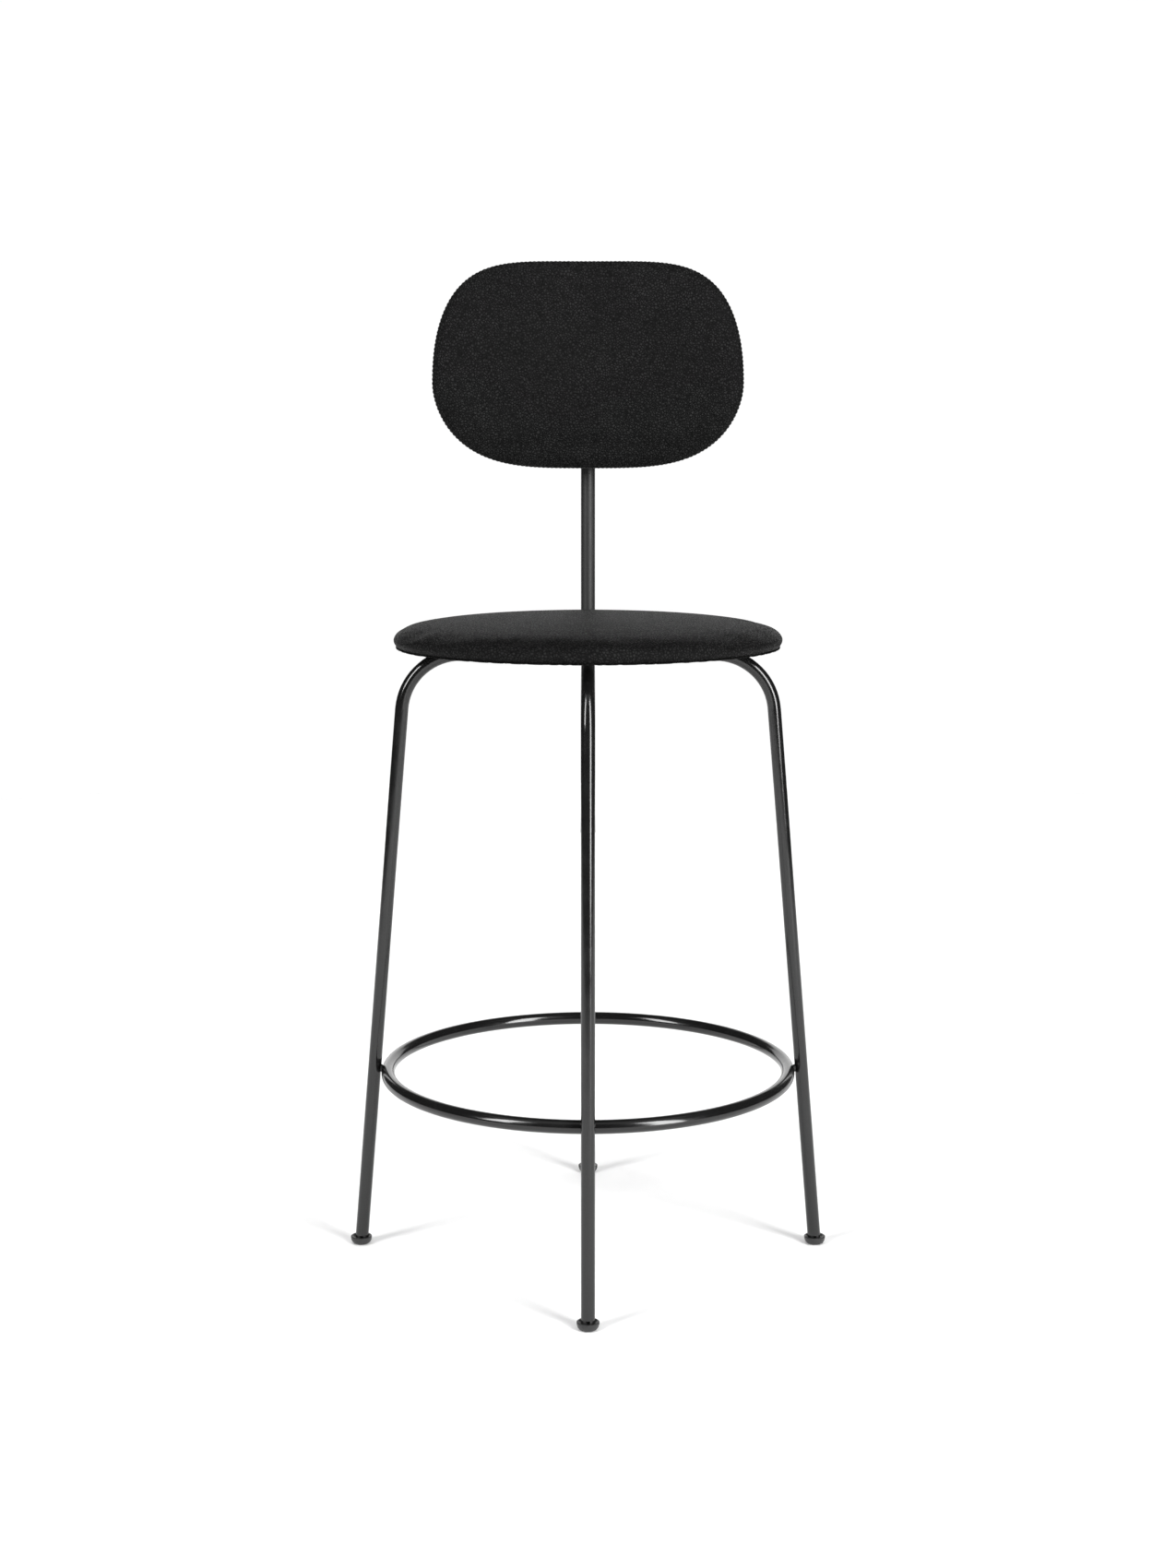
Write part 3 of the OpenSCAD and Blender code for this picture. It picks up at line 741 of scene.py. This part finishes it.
def make_welds():
    hub_out = hub_high.x
    tab_mid = tab_high.x - TAB_LEN / 2
    lean = Vector((-math.sin(LEG_LEAN), 0, math.cos(LEG_LEAN)))
    gap_mid = FOOT_R - RING_Z * math.tan(LEG_LEAN) - LEG_R / math.cos(LEG_LEAN) - RING_GAP / 2
    sides = {"left": 180, "right": 0, "front": 270, "rear": 90}
    for side, degrees in sides.items():
        turn = Matrix.Rotation(math.radians(degrees), 3, "Z")
        points, faces = [], []
        ring = circle(Vector((hub_out + 0.0004, 0, RUN_Z)), Vector((1, 0, 0)), LEG_R + 0.0003)
        weld_mesh([turn @ p for p in ring], 0.0016, points, faces, True)
        bottom = tab_low.z
        drop = RUN_Z + LEG_R - bottom
        half = math.sqrt(LEG_R**2 - (LEG_R - drop) ** 2)
        for y in (-half - 0.0012, half + 0.0012):
            ends = [Vector((tab_mid + s * (TAB_LEN / 2 - 0.0015), y, bottom - 0.0004)) for s in (-1, 1)]
            weld_mesh([turn @ p for p in ends], 0.0017, points, faces)
        mesh_piece(side + "_leg_top_welds", points, faces, WELD_BLACK)
        points, faces = [], []
        ring = circle(Vector((gap_mid, 0, RING_Z)), Vector((1, 0, 0)), STUD_R + 0.0001, 36)
        weld_mesh([turn @ p for p in ring], 0.0009, points, faces, True)
        mesh_piece(side + "_ring_weld", points, faces, WELD_BLACK)
    points, faces = [], []
    turn = Matrix.Rotation(math.pi / 2, 3, "Z")
    apart = LEG_R + POST_R - POST_SEAT
    near = (apart**2 + LEG_R**2 - POST_R**2) / (2 * apart)
    half = math.sqrt(LEG_R**2 - near**2)
    across = Vector((math.cos(LEG_LEAN), 0, math.sin(LEG_LEAN)))
    post_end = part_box("back_post")[0].z
    for y in (-half - 0.0011, half + 0.0011):
        for start in (0.008, 0.064, 0.118):
            ends = []
            for z in (post_end + start, post_end + start + 0.028):
                ends.append(Vector((FOOT_R, y, 0)) + lean * (z / lean.z) + across * near)
            weld_mesh([turn @ p for p in ends], 0.0017, points, faces)
    mesh_piece("post_welds", points, faces, WELD_BLACK)


# ---- Set ----


def make_floor():
    """A pale floor that glows, faintly near the stool to lift the shadows there and more away from it, so
    that it turns plain white.
    """
    material, tree, shader, where = start_material("pale_glowing_floor", Roughness=0.7, IOR=1.3)
    shader.inputs["Specular IOR Level"].default_value = 0.1
    speckle = fractal(tree, where, 40, 3.0)
    colour = mix(tree, "MIX", speckle, grey(0.81), grey(0.84))
    away = add(tree, "VectorMath", {"operation": "LENGTH"})
    tree.links.new(where, away.inputs[0])
    shader.inputs["Emission Color"].default_value = grey(1)
    # Painted light: the floor glows at 0.05 near the stool, lifting its shadows, rising to 0.3 away from it.
    glow = spread(tree, away.outputs["Value"], 0.9, 2.4, 0.05, 0.3)
    tree.links.new(glow, shader.inputs["Emission Strength"])
    finish_material(tree, shader, colour)
    data = bpy.data.meshes.new("floor")
    count, radius = 96, FLOOR_R
    ring = [
        (radius * math.cos(2 * math.pi * k / count), radius * math.sin(2 * math.pi * k / count), 0)
        for k in range(count)
    ]
    data.from_pydata(ring, [], [tuple(range(count))])
    data.materials.append(material)
    floor = bpy.data.objects.new("floor", data)
    bpy.context.scene.collection.objects.link(floor)


def soft_box(name, place, target, size, radiance, in_gloss=True):
    """An even soft box that the camera doesn't see, nor glossy surfaces when in_gloss is false."""
    light = bpy.data.lights.new(name, "AREA")
    light.shape = "RECTANGLE"
    light.size, light.size_y = size
    light.energy = radiance * math.pi * size[0] * size[1]
    lamp = bpy.data.objects.new(name, light)
    lamp.location = place
    lamp.rotation_euler = (Vector(target) - Vector(place)).to_track_quat("-Z", "Y").to_euler()
    lamp.visible_camera = False
    lamp.visible_glossy = in_gloss
    bpy.context.scene.collection.objects.link(lamp)


def make_lights():
    soft_box("top_light", (0, -0.2, 3.0), (0, -0.2, 0), (3.2, 3.2), 2.0, False)
    soft_box("left_light", (-4.73, -3.9, 4.95), (0, -0.2, 4.95), (1.7, 6.4), 15)
    soft_box("right_light", (4.17, -4.5, 4.1), (0, -0.2, 4.1), (1.9, 8.1), 17)
    soft_box("ceiling_light", (0, -0.8, 3.5), (0, -0.2, 0.6), (4.4, 3.0), 0.35)
    soft_box("backdrop_light", (0, 5.0, 1.3), (0, 0, 1.3), (6.0, 2.4), 1.5)
    world = bpy.data.worlds.new("studio")
    bpy.context.scene.world = world
    world.use_nodes = True
    tree = world.node_tree
    room = tree.nodes["Background"]
    room.inputs["Color"].default_value = grey(1)
    room.inputs["Strength"].default_value = 0.05
    backdrop = add(tree, "Background", Color=grey(1), Strength=1.01)
    seen = add(tree, "LightPath").outputs["Is Camera Ray"]
    blend = add(tree, "MixShader", Fac=seen)
    tree.links.new(room.outputs[0], blend.inputs[1])
    tree.links.new(backdrop.outputs[0], blend.inputs[2])
    tree.links.new(blend.outputs[0], tree.nodes["World Output"].inputs["Surface"])


def make_camera():
    camera = bpy.data.cameras.new("camera")
    camera.lens = 53.375
    camera.sensor_width = 36
    holder = bpy.data.objects.new("camera", camera)
    holder.location = (0, -2.309, 0.8335)
    holder.rotation_euler = (math.radians(81.313), 0, 0)
    bpy.context.scene.collection.objects.link(holder)
    bpy.context.scene.camera = holder


make_camera()
make_floor()
make_lights()
bpy.context.scene.view_settings.view_transform = "Standard"

make_seat()
make_seat_margin()
make_back_pad(
    "back_front_pad", BACK_T / 2, BACK_T, 0.017, 0.003, 0.0015, ["back_front_cover", "back_foam"]
)
make_back_pad(
    "back_rear_pad_cover", BACK_T / 2, 0, 0.012, 0.0015, 0.0008, ["back_rear_cover", "back_rear_pad"]
)
make_back_seam()
make_welds()
